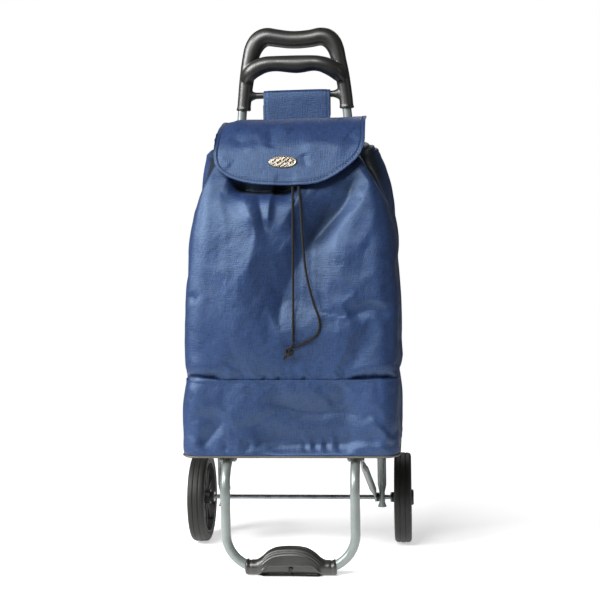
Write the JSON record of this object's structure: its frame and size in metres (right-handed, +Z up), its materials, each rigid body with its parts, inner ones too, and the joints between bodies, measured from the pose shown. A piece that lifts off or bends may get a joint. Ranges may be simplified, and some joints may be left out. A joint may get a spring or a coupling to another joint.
{
  "type": "shopping trolley",
  "caption": "Wheeled shopping trolley: tall fabric bag with flap and drawstring on a bent-tube frame with a looped push handle, rear wheels and a front foot.",
  "frame": {"origin": "on the floor, at the middle of the footprint of the wheels and the front foot", "axes": "+X to the right as seen from the front, along the axle; +Y to the back, towards the handle tubes; +Z up"},
  "size_m": [0.4034, 0.31, 0.9185],
  "materials": {
    "frame_paint": "satin grey stove enamel",
    "zinc": "zinc plated",
    "tyre": "matt grey-black rubber",
    "rim_plastic": "deep black moulding",
    "handle_plastic": "satin black moulding",
    "fabric_blue": "coated polyester weave",
    "board_grey": "grey board",
    "piping": "black woven trim",
    "badge_metal": "antique plated",
    "cord": "braided cord"
  },
  "bodies": {
    "frame": {"axle": "zinc", "axle_caps": "rim_plastic", "axle_spacers": "rim_plastic", "axle_washers": "zinc", "bag_back": "fabric_blue", "bag_floor": "fabric_blue", "bag_front": "fabric_blue", "bag_side_left": "fabric_blue", "bag_side_right": "fabric_blue", "base_board": "board_grey", "base_piping": "piping", "brace_bolts": "zinc", "brace_left": "frame_paint", "brace_nuts": "zinc", "brace_right": "frame_paint", "crossbar_lower": "frame_paint", "crossbar_rivets": "zinc", "crossbar_upper": "frame_paint", "drawstring_casing": "cord", "drawstring_knot": "cord", "drawstring_left": "cord", "drawstring_right": "cord", "eyelets": "badge_metal", "flap_root": "fabric_blue", "foot_pad": "handle_plastic", "foot_screw": "zinc", "front_loop": "frame_paint", "handle": "handle_plastic", "handle_screws": "zinc", "hang_sleeve": "fabric_blue", "loop_bolts": "zinc", "loop_nuts": "zinc", "lower_band": "fabric_blue", "mouth_casing": "fabric_blue", "rear_tube_left": "frame_paint", "rear_tube_right": "frame_paint", "sleeve_hook_tape": "piping", "sleeve_loop_tape": "piping", "tube_strap_left": "piping", "tube_strap_right": "piping"},
    "wheel_left": {"tyre_left": "tyre", "rim_left": "rim_plastic"},
    "wheel_right": {"tyre_right": "tyre", "rim_right": "rim_plastic"},
    "flap": {"flap": "fabric_blue", "badge": "badge_metal", "badge_backing": "badge_metal"}
  },
  "joints": [
    {"name": "wheel_left_spin", "type": "hinge", "parent": "frame", "child": "wheel_left", "pos_m": [-0.1826, 0.075, 0.08], "axis": [1, 0, 0], "continuous": true},
    {"name": "wheel_right_spin", "type": "hinge", "parent": "frame", "child": "wheel_right", "pos_m": [0.1826, 0.075, 0.08], "axis": [1, 0, 0], "continuous": true},
    {"name": "flap_hinge", "type": "hinge", "parent": "frame", "child": "flap", "pos_m": [0, 0.063, 0.751], "axis": [-1, 0, 0], "range_deg": [0, 70]}
  ]
}
